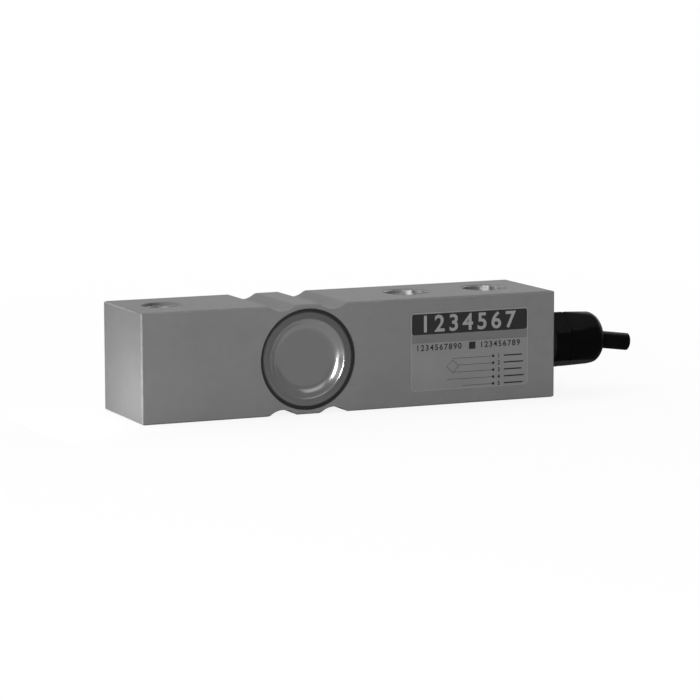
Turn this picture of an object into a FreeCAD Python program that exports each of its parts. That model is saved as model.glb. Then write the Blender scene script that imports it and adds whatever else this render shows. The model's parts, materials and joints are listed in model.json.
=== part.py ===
import FreeCAD, Part
import math
import os
import re

import Sketcher

# A single-ended shear beam load cell at its real size, in millimetres.
# The origin lies midway between the two fixing holes, on the bottom face.
# +X runs towards the cable gland, -Y is the labelled front side and +Z is up.

Vector = FreeCAD.Vector
Placement = FreeCAD.Placement
Rotation = FreeCAD.Rotation

SIZES = {
    # Beam
    "load_overhang": 12.7,
    "load_span": 76.2,
    "fixing_pitch": 25.4,
    "cable_overhang": 15.7,
    "beam_width": 31.8,
    "beam_height": 31.8,
    "end_chamfer": 0.45,
    "edge_chamfer": 0.4,
    "load_hole_dia": 11.3,
    "load_hole_chamfer": 1.0,
    "fixing_hole_dia": 13.5,
    "fixing_hole_chamfer": 0.3,
    # Relief notches above and below the sensing section
    "notch_offset": 7.9,
    "notch_radius": 6.0,
    "notch_depth": 1.7,
    "notch_rim_radius": 1.5,
    # Gauge pockets
    "pocket_dia": 24.0,
    "web_thickness": 5.0,
    "seat_dia": 29.4,
    "seat_depth": 1.0,
    "web_hole_dia": 2.4,
    "web_hole_reach": 7.9,
    "web_hole_drop": 4.0,
    # Dished covers and their sealing beads
    "cover_dia": 27.6,
    "cover_sheet": 0.6,
    "cover_fit": 0.1,
    "lip_dia": 22.8,
    "dish_dia": 18.6,
    "dish_depth": 1.7,
    "bead_depth": 0.6,
    # Label
    "label_length": 38.0,
    "label_height": 23.0,
    "label_film": 0.15,
    "label_corner": 1.0,
    "label_shift": 0.5,
    # Cable entry in the end face
    "entry_from_front": 8.7,
    "entry_bore_dia": 12.0,
    "entry_bore_depth": 8.0,
    "channel_slack": 0.6,
    # Cable gland
    "gland_across_flats": 15.0,
    "gland_turn": 10.0,
    "washer_dia": 16.0,
    "washer_thickness": 1.2,
    "washer_clearance": 0.1,
    "thread_clearance": 0.05,
    "stud_length": 6.5,
    "flange_dia": 17.1,
    "flange_length": 5.3,
    "flange_chamfer": 0.5,
    "barrel_dia": 12.2,
    "barrel_length": 4.2,
    "finger_length": 2.5,
    "finger_count": 6,
    "slot_width": 0.8,
    "seal_dia": 9.0,
    "seal_length": 7.8,
    "seal_sink": 2.0,
    "nut_gap": 0.1,
    "nut_base_dia": 17.2,
    "nut_top_dia": 16.0,
    "nut_length": 12.0,
    "nut_mouth_dia": 6.9,
    "nut_face": 0.3,
    # Cable
    "core_dia": 1.1,
    "core_gap": 0.14,
    "conductor_dia": 0.5,
    "drain_dia": 0.44,
    "wire_clearance": 0.08,
    "bundle_clearance": 0.17,
    "shield_wall": 0.2,
    "jacket_wall": 0.8,
    "jacket_inset": 5.0,
    "shield_bare": 0.8,
    "bundle_shift": 2.3,
    "bundle_shift_run": 8.0,
    "cable_pivot": 13.5,
    "cable_droop": 7.5,
    "cable_tail": 10.2,
    "core_turn": 1.2,
    "strip_length": 1.2,
    # Shear gauges
    "film_length": 9.0,
    "film_height": 8.0,
    "film_thickness": 0.1,
    "foil_thickness": 0.05,
    "grid_lines": 5,
    "grid_length": 2.6,
    "grid_line": 0.3,
    "grid_pitch": 0.55,
    "grid_link": 0.4,
    "grid_spread": 2.1,
    "grid_rise": 0.9,
    "tab_size": 0.9,
    "tab_pitch": 2.2,
    "tab_inset": 0.15,
    "gauge_wire_dia": 0.24,
    "gauge_wire_hop": 2.0,
    "web_wire_pitch": 0.5,
    "web_wire_rise": 1.5,
    # Terminal board
    "board_length": 12.4,
    "board_height": 4.4,
    "board_thickness": 1.0,
    "board_drop": 7.2,
    "pad_thickness": 0.05,
    "core_pad_length": 1.4,
    "core_pad_height": 1.2,
    "core_pad_pitch": 2.4,
    "gauge_pad_size": 0.8,
    "gauge_pad_pitch": 1.9,
    "pad_inset": 0.2,
    "resistor_length": 1.3,
    "resistor_width": 0.8,
    "resistor_height": 0.45,
}

# Places and sizes that follow from the sheet, written as formulas of its cells
FORMULAS = {
    "free_end": "-(fixing_pitch / 2 + load_span + load_overhang)",
    "cable_end": "fixing_pitch / 2 + cable_overhang",
    "load_x": "-(fixing_pitch / 2 + load_span)",
    "pocket_x": "-(fixing_pitch + load_span) / 2",
    "mid_height": "beam_height / 2",
    "half_width": "beam_width / 2",
    "half_web": "web_thickness / 2",
    "notch_centre": "notch_radius - notch_depth",
    "flange_top": "seat_depth - cover_sheet",
    "dish_bottom": "flange_top + dish_depth",
    "entry_y": "entry_from_front - half_width",
    "bundle_y": "entry_y - bundle_shift",
    "channel_y": "bundle_y - channel_slack",
    "core_spread": "(core_dia + core_gap) / sqrt(2)",
    "bundle_radius": "core_spread + core_dia / 2",
    "channel_radius": "channel_slack + bundle_radius + wire_clearance",
    "stud_bore": "bundle_shift + bundle_radius + wire_clearance",
    "stud_radius": "entry_bore_dia / 2 - thread_clearance",
    "shield_bore": "bundle_radius + bundle_clearance",
    "jacket_bore": "shield_bore + shield_wall",
    "cable_radius": "jacket_bore + jacket_wall",
    "shield_inset": "jacket_inset - shield_bare",
    "cable_reach": "nut_end + cable_tail",
    "drain_spread": "(shield_bore - drain_dia / 2 - wire_clearance) / sqrt(2)",
    "flange_end": "washer_thickness + flange_length",
    "barrel_end": "flange_end + barrel_length",
    "finger_end": "barrel_end + finger_length",
    "seal_seat": "flange_end - seal_sink",
    "seal_bore": "seal_dia / 2 + thread_clearance",
    "nut_base": "flange_end + nut_gap",
    "nut_end": "nut_base + nut_length",
    "nut_thread": "barrel_dia / 2 + thread_clearance",
    "nut_shoulder": "(nut_top_dia - nut_mouth_dia) / 2 - nut_face",
    "hex_corner": "gland_across_flats / sqrt(3)",
    "foil_top": "film_thickness + foil_thickness",
    "pad_top": "board_thickness + pad_thickness",
    "tab_drop": "film_height / 2 - tab_inset - tab_size / 2",
    "core_pad_drop": "board_drop + board_height / 2 - pad_inset - core_pad_height / 2",
    "gauge_pad_drop": "board_drop - board_height / 2 + pad_inset + gauge_pad_size / 2",
}

# Rotations of the frames in which the pieces are drawn
FRONT_SIDE = Rotation(Vector(0, 0, 1), 0)
REAR_SIDE = Rotation(Vector(0, 0, 1), 180)
FRONT_FLOOR = Rotation(Vector(1, 0, 0), 90)
REAR_FLOOR = Rotation(Vector(0, 0, 1), 180).multiply(FRONT_FLOOR)
ALONG_X = Rotation(Vector(0, 1, 0), 90)

doc = FreeCAD.newDocument("beam_load_cell")
sheet = doc.addObject("Spreadsheet::Sheet", "Sizes")
for row, (name, number) in enumerate(SIZES.items(), start=1):
    sheet.set(f"A{row}", name)
    sheet.set(f"B{row}", str(number))
    sheet.setAlias(f"B{row}", name)
doc.recompute()

nodes = []


# Formulas and bindings

def formula(text):
    """Write a formula of size names as an expression of the sheet's cells."""
    def cell(match):
        word = match[0]
        if word in FORMULAS:
            return "(" + formula(FORMULAS[word]) + ")"
        return "Sizes." + word if word in SIZES else word
    return re.sub(r"[a-z_]+", cell, text)


def size(text):
    """Return the number that a formula of size names stands for."""
    return float(sheet.evalExpression(formula(text)))


def bind(item, prop, text):
    item.setExpression(prop, formula(text))


def place(item, x="0", y="0", z="0", rotation=FRONT_SIDE):
    item.Placement = Placement(Vector(), rotation)
    for axis, text in zip("xyz", (x, y, z)):
        bind(item, f"Placement.Base.{axis}", text)


def keep(item, label):
    """Make an object one of the sub-parts that are written out."""
    item.Label = label
    nodes.append(item)
    return item


# Sketches and features of a body

def new_body(label):
    return keep(doc.addObject("PartDesign::Body", label), label)


def origin_plane(body, role):
    return next(plane for plane in body.Origin.OriginFeatures if plane.Role == role)


def sketch_on(body, name, role, offset="0"):
    sketch = body.newObject("Sketcher::SketchObject", name)
    sketch.AttachmentSupport = [(origin_plane(body, role), "")]
    sketch.MapMode = "FlatFace"
    bind(sketch, "AttachmentOffset.Base.z", offset)
    return sketch


def pin_point(sketch, element, point, x, y):
    """Tie a point of a sketch to formulas for its two coordinates."""
    for kind, text in (("DistanceX", x), ("DistanceY", y)):
        rule = Sketcher.Constraint(kind, -1, 1, element, point, size(text))
        bind(sketch, f"Constraints[{sketch.addConstraint(rule)}]", text)


def add_circle(sketch, x, y, diameter):
    centre = Vector(size(x), size(y), 0)
    element = sketch.addGeometry(Part.Circle(centre, Vector(0, 0, 1), size(diameter) / 2))
    rule = Sketcher.Constraint("Diameter", element, size(diameter))
    bind(sketch, f"Constraints[{sketch.addConstraint(rule)}]", diameter)
    pin_point(sketch, element, 3, x, y)


def add_polygon(sketch, corners):
    spots = [Vector(size(x), size(y), 0) for x, y in corners]
    lines = [sketch.addGeometry(Part.LineSegment(spot, spots[(k + 1) % len(spots)]))
             for k, spot in enumerate(spots)]
    for k, line in enumerate(lines):
        sketch.addConstraint(Sketcher.Constraint("Coincident", line, 2, lines[(k + 1) % len(lines)], 1))
    for line, (x, y) in zip(lines, corners):
        pin_point(sketch, line, 1, x, y)


def add_rectangle(sketch, x, y, length, height):
    add_polygon(sketch, [(f"{x} + {sx} * ({length}) / 2", f"{y} + {sy} * ({height}) / 2")
                         for sx, sy in ((-1, -1), (1, -1), (1, 1), (-1, 1))])


def add_hexagon(sketch, corner, turn):
    add_polygon(sketch, [(f"{corner} * cos({turn} + {60 * k})", f"{corner} * sin({turn} + {60 * k})")
                         for k in range(6)])


def sketch_feature(body, kind, sketch, length=None, side="One side", reverse=False):
    """Add a pad or a pocket of a sketch; without a length it goes through all."""
    before = body.Shape.Volume if kind == "Pocket" else 0
    feature = body.newObject(f"PartDesign::{kind}", f"{sketch.Name}_{kind.lower()}")
    feature.Profile = sketch
    feature.SideType = side
    feature.Reversed = reverse
    if length is None:
        feature.Type = "ThroughAll"
    else:
        bind(feature, "Length", length)
    doc.recompute()
    if kind == "Pocket" and feature.Shape.Volume >= before:
        raise RuntimeError(f"{feature.Name} cuts nothing")
    return feature


def revolve(body, sketch):
    feature = body.newObject("PartDesign::Revolution", f"{sketch.Name}_turned")
    feature.Profile = sketch
    feature.ReferenceAxis = (sketch, ["V_Axis"])
    feature.Angle = 360
    doc.recompute()
    return feature


def dress_edges(body, kind, amount, test):
    """Add a fillet or a chamfer to the edges of the body that pass a test."""
    base = body.Tip
    names = [f"Edge{k}" for k, edge in enumerate(base.Shape.Edges, start=1) if test(edge)]
    feature = body.newObject(f"PartDesign::{kind}", f"{body.Name}_{kind.lower()}")
    feature.Base = (base, names)
    bind(feature, "Radius" if kind == "Fillet" else "Size", amount)
    doc.recompute()
    return feature


def near(a, b):
    return abs(a - b) < 1e-4


def is_ring(edge, radius, axis, height):
    """Tell whether an edge is a full circle of a radius at a height along an axis."""
    curve = edge.Curve
    return (isinstance(curve, Part.Circle) and edge.isClosed() and near(curve.Radius, radius)
            and near(getattr(curve.Center, axis), height))


# Beam

def make_beam():
    body = new_body("beam_body")
    outline = sketch_on(body, "beam_side", "XZ_Plane")
    add_polygon(outline, [("free_end", "0"), ("cable_end", "0"),
                          ("cable_end", "beam_height"), ("free_end", "beam_height")])
    sketch_feature(body, "Pad", outline, "beam_width", side="Symmetric")
    break_edges(body)
    cut_notches(body)
    cut_pockets(body)
    cut_bolt_holes(body)
    cut_cable_entry(body)


def cut_notches(body):
    notches = sketch_on(body, "notches", "XZ_Plane")
    for side in ("-", "+"):
        for height in ("-notch_centre", "beam_height + notch_centre"):
            add_circle(notches, f"pocket_x {side} notch_offset", height, "2 * notch_radius")
    sketch_feature(body, "Pocket", notches, side="Symmetric")
    ends = (size("free_end"), size("cable_end"))
    levels = (0, size("beam_height"))

    def is_rim(edge):
        box = edge.BoundBox
        across = near(box.XLength, 0) and near(box.ZLength, 0)
        at_end = any(near(box.XMin, end) for end in ends)
        return across and not at_end and any(near(box.ZMin, level) for level in levels)
    dress_edges(body, "Fillet", "notch_rim_radius", is_rim)


def break_edges(body):
    ends = (size("free_end"), size("cable_end"))

    def on_end_face(edge):
        box = edge.BoundBox
        return near(box.XLength, 0) and any(near(box.XMin, end) for end in ends)
    dress_edges(body, "Chamfer", "end_chamfer", on_end_face)
    sides = (-size("half_width"), size("half_width"))

    def on_side_outline(edge):
        box = edge.BoundBox
        on_side = near(box.YLength, 0) and any(near(box.YMin, side) for side in sides)
        return on_side and box.XLength > box.ZLength
    dress_edges(body, "Chamfer", "edge_chamfer", on_side_outline)


def cut_pockets(body):
    seat = sketch_on(body, "cover_seat", "XZ_Plane", "half_width")
    add_circle(seat, "pocket_x", "mid_height", "seat_dia")
    seat_cut = sketch_feature(body, "Pocket", seat, "seat_depth")
    pocket = sketch_on(body, "gauge_pocket", "XZ_Plane", "half_width")
    add_circle(pocket, "pocket_x", "mid_height", "pocket_dia")
    pocket_cut = sketch_feature(body, "Pocket", pocket, "half_width - half_web")
    mirror = body.newObject("PartDesign::Mirrored", "rear_pocket")
    mirror.Originals = [seat_cut, pocket_cut]
    mirror.MirrorPlane = (origin_plane(body, "XZ_Plane"), [""])
    body.Tip = mirror
    doc.recompute()
    wire_hole = sketch_on(body, "web_hole", "XZ_Plane")
    add_circle(wire_hole, "pocket_x + web_hole_reach", "mid_height - web_hole_drop", "web_hole_dia")
    sketch_feature(body, "Pocket", wire_hole, "2 * web_thickness", side="Symmetric")


def cut_bolt_holes(body):
    holes = sketch_on(body, "bolt_holes", "XY_Plane")
    add_circle(holes, "load_x", "0", "load_hole_dia")
    for side in ("-", "+"):
        add_circle(holes, f"{side}fixing_pitch / 2", "0", "fixing_hole_dia")
    sketch_feature(body, "Pocket", holes, reverse=True)
    for hole in ("load_hole", "fixing_hole"):
        radius = size(f"{hole}_dia / 2")

        def is_mouth(edge):
            return any(is_ring(edge, radius, "z", level) for level in (0, size("beam_height")))
        dress_edges(body, "Chamfer", f"{hole}_chamfer", is_mouth)


def cut_cable_entry(body):
    bore = sketch_on(body, "entry_bore", "YZ_Plane", "cable_end")
    add_circle(bore, "entry_y", "mid_height", "entry_bore_dia")
    sketch_feature(body, "Pocket", bore, "entry_bore_depth")
    channel = sketch_on(body, "wire_channel", "YZ_Plane", "cable_end")
    add_circle(channel, "channel_y", "mid_height", "2 * channel_radius")
    sketch_feature(body, "Pocket", channel, "cable_end - pocket_x - pocket_dia / 4")


# Covers, beads and label

def make_cover(side, rotation, y):
    body = new_body(f"{side}_cover")
    profile = sketch_on(body, f"{side}_cover_profile", "XY_Plane")
    add_polygon(profile, [
        ("0", "dish_bottom"),
        ("dish_dia / 2", "dish_bottom"),
        ("lip_dia / 2", "flange_top"),
        ("cover_dia / 2", "flange_top"),
        ("cover_dia / 2", "seat_depth"),
        ("pocket_dia / 2 - cover_fit", "seat_depth"),
        ("pocket_dia / 2 - cover_fit", "dish_bottom + cover_sheet"),
        ("0", "dish_bottom + cover_sheet"),
    ])
    revolve(body, profile)
    place(body, "pocket_x", y, "mid_height", rotation)


def make_bead(side, rotation, y):
    body = new_body(f"{side}_seal_bead")
    profile = sketch_on(body, f"{side}_bead_profile", "XY_Plane")
    add_polygon(profile, [
        ("cover_dia / 2", "seat_depth"),
        ("seat_dia / 2", "seat_depth"),
        ("seat_dia / 2", "bead_depth"),
        ("cover_dia / 2", "bead_depth"),
    ])
    revolve(body, profile)
    place(body, "pocket_x", y, "mid_height", rotation)


def make_label():
    body = new_body("label")
    outline = sketch_on(body, "label_outline", "XZ_Plane", "half_width")
    add_rectangle(outline, "label_shift", "mid_height", "label_length", "label_height")
    sketch_feature(body, "Pad", outline, "label_film")
    dress_edges(body, "Fillet", "label_corner", lambda edge: near(edge.BoundBox.YLength, size("label_film")))


# Gauges and terminal board, drawn flat on a pocket floor

def new_box(name, x, y, z, length, width, height):
    """Add a box centred on x and y that stands on z."""
    box = doc.addObject("Part::Box", name)
    bind(box, "Length", length)
    bind(box, "Width", width)
    bind(box, "Height", height)
    place(box, f"{x} - ({length}) / 2", f"{y} - ({width}) / 2", z)
    return box


def gather(label, parts, y, rotation):
    group = keep(doc.addObject("Part::Compound", label), label)
    group.Links = parts
    place(group, "pocket_x", y, "mid_height", rotation)


def make_floor_plate(label, plate, drop, y, rotation):
    body = new_body(label)
    outline = sketch_on(body, f"{label}_outline", "XY_Plane")
    add_rectangle(outline, "0", f"-({drop})", f"{plate}_length", f"{plate}_height")
    sketch_feature(body, "Pad", outline, f"{plate}_thickness")
    place(body, "pocket_x", y, "mid_height", rotation)


def make_grid(name, sign):
    """Make one foil grid that runs to and fro, turned 45 degrees to the beam."""
    lines = int(size("grid_lines"))
    boxes = []
    for k in range(lines):
        across = f"{2 * k - lines + 1} * grid_pitch / 2"
        boxes.append(new_box(f"{name}_line_{k}", "0", across, "0",
                             "grid_length", "grid_line", "foil_thickness"))
    for k in range(lines - 1):
        end = 1 if k % 2 else -1
        along = f"{end} * (grid_length - grid_link) / 2"
        between = f"{2 * k - lines + 2} * grid_pitch / 2"
        boxes.append(new_box(f"{name}_link_{k}", along, between, "0",
                             "grid_link", "grid_pitch", "foil_thickness"))
    grid = doc.addObject("Part::MultiFuse", name)
    grid.Shapes = boxes
    place(grid, f"{sign} * grid_spread", "grid_rise", "film_thickness",
          Rotation(Vector(0, 0, 1), 45 * sign))
    return grid


def make_gauge(side, y, rotation):
    make_floor_plate(f"{side}_gauge_film", "film", "0", y, rotation)
    foil = [make_grid(f"{side}_grid_{word}", sign) for word, sign in (("left", -1), ("right", 1))]
    for k in range(3):
        foil.append(new_box(f"{side}_tab_{k}", f"{k - 1} * tab_pitch", "-tab_drop", "film_thickness",
                            "tab_size", "tab_size", "foil_thickness"))
    gather(f"{side}_gauge_foil", foil, y, rotation)


def make_board():
    make_floor_plate("terminal_board", "board", "board_drop", "-half_web", FRONT_FLOOR)
    pads = [new_box(f"core_pad_{k}", f"{2 - k} * core_pad_pitch", "-core_pad_drop", "board_thickness",
                    "core_pad_length", "core_pad_height", "pad_thickness") for k in range(5)]
    pads += [new_box(f"gauge_pad_{k}", f"{2 * k - 5} * gauge_pad_pitch / 2", "-gauge_pad_drop",
                     "board_thickness", "gauge_pad_size", "gauge_pad_size", "pad_thickness")
             for k in range(6)]
    gather("solder_pads", pads, "-half_web", FRONT_FLOOR)
    middle = "-(core_pad_drop - core_pad_height / 2 + gauge_pad_drop + gauge_pad_size / 2) / 2"
    chips = [new_box(f"chip_{k}", f"{2 * k - 3} * core_pad_pitch / 2", middle, "board_thickness",
                     "resistor_width", "resistor_length", "resistor_height") for k in range(4)]
    gather("trim_resistors", chips, "-half_web", FRONT_FLOOR)


# Cable gland, drawn along its own axis from the end face of the beam

def place_gland(item):
    place(item, "cable_end", "entry_y", "mid_height", ALONG_X)


def cut_hex(body, name, start, length):
    """Cut six flats round a turned piece."""
    ring = sketch_on(body, name, "XY_Plane", start)
    add_circle(ring, "0", "0", "2 * (flange_dia + nut_base_dia)")
    add_hexagon(ring, "hex_corner", "gland_turn")
    sketch_feature(body, "Pocket", ring, length, reverse=True)


def make_washer():
    body = new_body("gland_washer")
    ring = sketch_on(body, "washer_ring", "XY_Plane")
    add_circle(ring, "0", "0", "washer_dia")
    add_circle(ring, "0", "0", "2 * (stud_radius + washer_clearance)")
    sketch_feature(body, "Pad", ring, "washer_thickness")
    place_gland(body)


def make_gland_body():
    body = new_body("gland_body")
    profile = sketch_on(body, "gland_profile", "XZ_Plane")
    add_polygon(profile, [
        ("stud_bore", "-stud_length"),
        ("stud_radius", "-stud_length"),
        ("stud_radius", "washer_thickness"),
        ("flange_dia / 2", "washer_thickness"),
        ("flange_dia / 2", "flange_end"),
        ("barrel_dia / 2", "flange_end"),
        ("barrel_dia / 2", "finger_end"),
        ("seal_bore", "finger_end"),
        ("seal_bore", "seal_seat"),
        ("stud_bore", "seal_seat"),
    ])
    revolve(body, profile)
    levels = (size("washer_thickness"), size("flange_end"))
    dress_edges(body, "Chamfer", "flange_chamfer",
                lambda edge: any(is_ring(edge, size("flange_dia / 2"), "z", level) for level in levels))
    cut_hex(body, "flange_flats", "washer_thickness", "flange_length")
    slot = sketch_on(body, "finger_slot", "XY_Plane", "barrel_end")
    add_rectangle(slot, "barrel_dia / 2", "0", "barrel_dia - seal_bore", "slot_width")
    first_slot = sketch_feature(body, "Pocket", slot, "finger_length", reverse=True)
    pattern = body.newObject("PartDesign::PolarPattern", "finger_slots")
    pattern.Originals = [first_slot]
    pattern.Axis = (slot, ["N_Axis"])
    pattern.Angle = 360
    bind(pattern, "Occurrences", "finger_count")
    body.Tip = pattern
    place_gland(body)


def make_nut():
    body = new_body("gland_nut")
    profile = sketch_on(body, "nut_profile", "XZ_Plane")
    shoulder = [(f"nut_top_dia / 2 - nut_shoulder * (1 - cos({angle}))",
                 f"nut_end - nut_shoulder * (1 - sin({angle}))") for angle in (0, 45, 90)]
    add_polygon(profile, [
        ("nut_thread", "nut_base"),
        ("nut_base_dia / 2", "nut_base"),
        *shoulder,
        ("nut_mouth_dia / 2", "nut_end"),
        ("nut_mouth_dia / 2", "finger_end + nut_gap"),
        ("nut_thread", "finger_end + nut_gap"),
    ])
    revolve(body, profile)
    cut_hex(body, "nut_flats", "nut_base", None)
    place_gland(body)


# Cable, a straight run that droops from the gland, and the wires that go on from it

def add_cylinder(name, start, radius):
    """Add a cylinder along the cable's axis, from a distance past the end face to the cut end."""
    rod = doc.addObject("Part::Cylinder", name)
    bind(rod, "Radius", radius)
    bind(rod, "Height", f"(cable_reach - {start}) / cos(cable_droop)")
    place(rod, f"cable_end + {start}", "entry_y",
          f"mid_height + (cable_pivot - {start}) * tan(cable_droop)", ALONG_X)
    bind(rod, "Placement.Rotation.Angle", "90 + cable_droop")
    return rod


def cut(label, base, tool):
    item = keep(doc.addObject("Part::Cut", label), label)
    item.Base = base
    item.Tool = tool


def make_tube(label, start, outer, bore):
    cut(label, add_cylinder(f"{label}_outside", start, outer), add_cylinder(f"{label}_bore", start, bore))


def make_seal():
    bush = doc.addObject("Part::Cylinder", "seal_bush")
    bind(bush, "Radius", "seal_dia / 2")
    bind(bush, "Height", "seal_length")
    place(bush, "cable_end + seal_seat", "entry_y", "mid_height", ALONG_X)
    cut("gland_seal", bush, add_cylinder("seal_cable", "shield_inset", "cable_radius"))


WIRE_SIDES = 8
FINE_WIRE_SIDES = 6


def wire(points, radius, sides=WIRE_SIDES):
    """Sweep a many-sided wire along straight runs with mitred turns, and check its volume."""
    ahead = Rotation(Vector(0, 0, 1), points[1] - points[0])
    ring = [points[0] + ahead.multVec(Vector(math.cos(turn), math.sin(turn), 0) * radius)
            for turn in (2 * math.pi * k / sides for k in range(sides + 1))]
    path = Part.makePolygon(points)
    solid = path.makePipeShell([Part.makePolygon(ring)], True, False, 1)
    section = sides / 2 * radius ** 2 * math.sin(2 * math.pi / sides)
    if abs(solid.Volume / (section * path.Length) - 1) > 0.02:
        raise RuntimeError("a swept wire has the wrong volume")
    return solid


def add_shape(label, shape):
    item = keep(doc.addObject("Part::Feature", label), label)
    item.Shape = shape
    item.Placement = Placement()


def shortened(points, length):
    """Return a route with its last run cut short."""
    back = (points[-2] - points[-1]).normalize()
    return points[:-1] + [points[-1] + back * length]


def floor_point(side, u, v, w):
    """Return the place u along, v above and w out from the centre of a pocket floor."""
    out = size("half_web") + w
    return Vector(size("pocket_x") + u, -out if side == "front" else out, size("mid_height") + v)


def core_route(order, side, up, wire_dia):
    """Return the route of one wire from the cable's cut end to its pad.

    side and up set the wire off from the middle of the bundle.
    """
    droop = math.radians(size("cable_droop"))
    axis = Vector(math.cos(droop), 0, -math.sin(droop))
    offset = Vector(up * math.sin(droop), side, up * math.cos(droop))
    pivot = Vector(size("cable_end + cable_pivot"), size("entry_y"), size("mid_height"))
    tip = pivot + axis * (size("cable_reach - cable_pivot") / math.cos(droop)) + offset
    leave = pivot + axis * (size("shield_inset - cable_pivot") / math.cos(droop)) + offset
    pad_u = (2 - order) * size("core_pad_pitch")
    pad = floor_point("front", pad_u, -size("core_pad_drop"), size("pad_top") + wire_dia / 2)
    corner = Vector(size("pocket_x") + pad_u, size("bundle_y") + side, size("mid_height") + up)
    enter = Vector(size("cable_end + shield_inset - bundle_shift_run"), corner.y, corner.z)
    down = (pad - corner).normalize()
    turn_in = corner + Vector(size("core_turn"), 0, 0)
    turn_out = corner + down * size("core_turn")
    return [tip, leave, enter, turn_in, turn_out, pad]


def make_cable():
    make_tube("cable_jacket", "jacket_inset", "cable_radius", "jacket_bore")
    make_tube("cable_shield", "shield_inset", "jacket_bore", "shield_bore")
    spread = size("core_spread")
    offsets = {
        "red": (0, -spread),
        "black": (spread, 0),
        "green": (-spread, 0),
        "white": (0, spread),
    }
    conductors = []
    for order, (colour, (side, up)) in enumerate(offsets.items()):
        route = core_route(order, side, up, size("conductor_dia"))
        covered = shortened(route, size("strip_length"))
        bore = wire(covered, size("conductor_dia / 2"), FINE_WIRE_SIDES)
        add_shape(f"core_{colour}", wire(covered, size("core_dia / 2")).cut(bore))
        conductors.append(wire(route, size("conductor_dia / 2"), FINE_WIRE_SIDES))
    add_shape("core_conductors", Part.makeCompound(conductors))
    off = size("drain_spread")
    route = core_route(len(offsets), -off, off, size("drain_dia"))
    add_shape("drain_wire", wire(route, size("drain_dia / 2"), FINE_WIRE_SIDES))


def make_gauge_wires():
    radius = size("gauge_wire_dia / 2")
    tab_w = size("foil_top") + radius
    pad_w = size("pad_top") + radius
    front = []
    rear = []
    for k in range(3):
        tab_u = (k - 1) * size("tab_pitch")
        near_pad_u = (2 * k - 5) * size("gauge_pad_pitch / 2")
        far_pad_u = (2 * k + 1) * size("gauge_pad_pitch / 2")
        tab_v = -size("tab_drop")
        pad_v = -size("gauge_pad_drop")
        hop = floor_point("front", (tab_u + near_pad_u) / 2, (tab_v + pad_v) / 2, size("gauge_wire_hop"))
        front.append(wire([floor_point("front", tab_u, tab_v, tab_w), hop,
                           floor_point("front", near_pad_u, pad_v, pad_w)], radius, FINE_WIRE_SIDES))
        hole_u = size("web_hole_reach")
        hole_v = -size("web_hole_drop") + (1 - k) * size("web_wire_pitch")
        rise = size("web_wire_rise")
        rear.append(wire([floor_point("rear", tab_u, tab_v + (1 - k) * size("tab_size / 4"), tab_w),
                          floor_point("rear", hole_u, hole_v, rise),
                          floor_point("front", hole_u, hole_v, rise + size("gauge_wire_dia")),
                          floor_point("front", far_pad_u, pad_v, pad_w)], radius, FINE_WIRE_SIDES))
    add_shape("front_gauge_wires", Part.makeCompound(front))
    add_shape("rear_gauge_wires", Part.makeCompound(rear))


def write_parts():
    """Check every object and every shape, then write one file for each sub-part."""
    doc.recompute()
    failed = [item.Name for item in doc.Objects if {"Invalid", "Error"} & set(item.State)]
    failed += [item.Label for item in nodes if item.Shape.isNull() or not item.Shape.isValid()]
    if failed:
        raise RuntimeError("these did not build: " + ", ".join(failed))
    os.makedirs("parts", exist_ok=True)
    for item in nodes:
        item.Shape.exportStep(f"parts/{item.Label}.step")
        print(item.Label, len(item.Shape.Solids), round(item.Shape.Volume, 3))


make_beam()
for side_name, turn, face in (("front", FRONT_SIDE, "-half_width"), ("rear", REAR_SIDE, "half_width")):
    make_cover(side_name, turn, face)
    make_bead(side_name, turn, face)
make_label()
make_gauge("front", "-half_web", FRONT_FLOOR)
make_gauge("rear", "half_web", REAR_FLOOR)
make_board()
make_washer()
make_gland_body()
make_nut()
make_seal()
make_cable()
make_gauge_wires()
write_parts()
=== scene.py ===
import json
import math

import bmesh
import bpy
from mathutils import Matrix, Vector


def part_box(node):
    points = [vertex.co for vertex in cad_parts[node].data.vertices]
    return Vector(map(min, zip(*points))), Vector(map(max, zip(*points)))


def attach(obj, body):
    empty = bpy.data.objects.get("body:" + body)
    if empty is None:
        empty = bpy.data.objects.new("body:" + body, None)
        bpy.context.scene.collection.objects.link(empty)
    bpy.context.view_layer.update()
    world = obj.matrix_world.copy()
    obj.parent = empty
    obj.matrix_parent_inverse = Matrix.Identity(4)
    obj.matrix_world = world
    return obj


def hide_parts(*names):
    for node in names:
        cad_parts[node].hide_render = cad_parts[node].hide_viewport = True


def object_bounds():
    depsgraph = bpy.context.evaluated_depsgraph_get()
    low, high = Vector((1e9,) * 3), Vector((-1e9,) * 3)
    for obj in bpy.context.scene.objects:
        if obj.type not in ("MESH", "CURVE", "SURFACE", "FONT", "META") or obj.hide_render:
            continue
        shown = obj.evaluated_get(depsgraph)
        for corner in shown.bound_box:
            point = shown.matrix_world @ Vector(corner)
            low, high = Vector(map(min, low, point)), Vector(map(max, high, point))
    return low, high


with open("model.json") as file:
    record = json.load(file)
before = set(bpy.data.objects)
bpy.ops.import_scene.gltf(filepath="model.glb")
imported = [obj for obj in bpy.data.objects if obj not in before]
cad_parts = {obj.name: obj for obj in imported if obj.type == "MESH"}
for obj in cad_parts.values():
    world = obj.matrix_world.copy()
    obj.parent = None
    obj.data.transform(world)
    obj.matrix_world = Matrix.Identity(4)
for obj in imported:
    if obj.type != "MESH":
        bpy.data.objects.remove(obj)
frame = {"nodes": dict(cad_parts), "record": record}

# The looks of a shear beam load cell: finishes for every node of the frame, pressed covers with rolled
# lips, a moulded gland nut, a printed label and the thread of the load hole.
# Sizes are metres in the frame's own axes, and MM turns millimetres into them.

MM = 0.001
CAD_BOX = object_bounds()
nodes = frame["nodes"]
mounts = {mount["name"]: mount for mount in frame["record"]["mounts"]}

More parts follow.
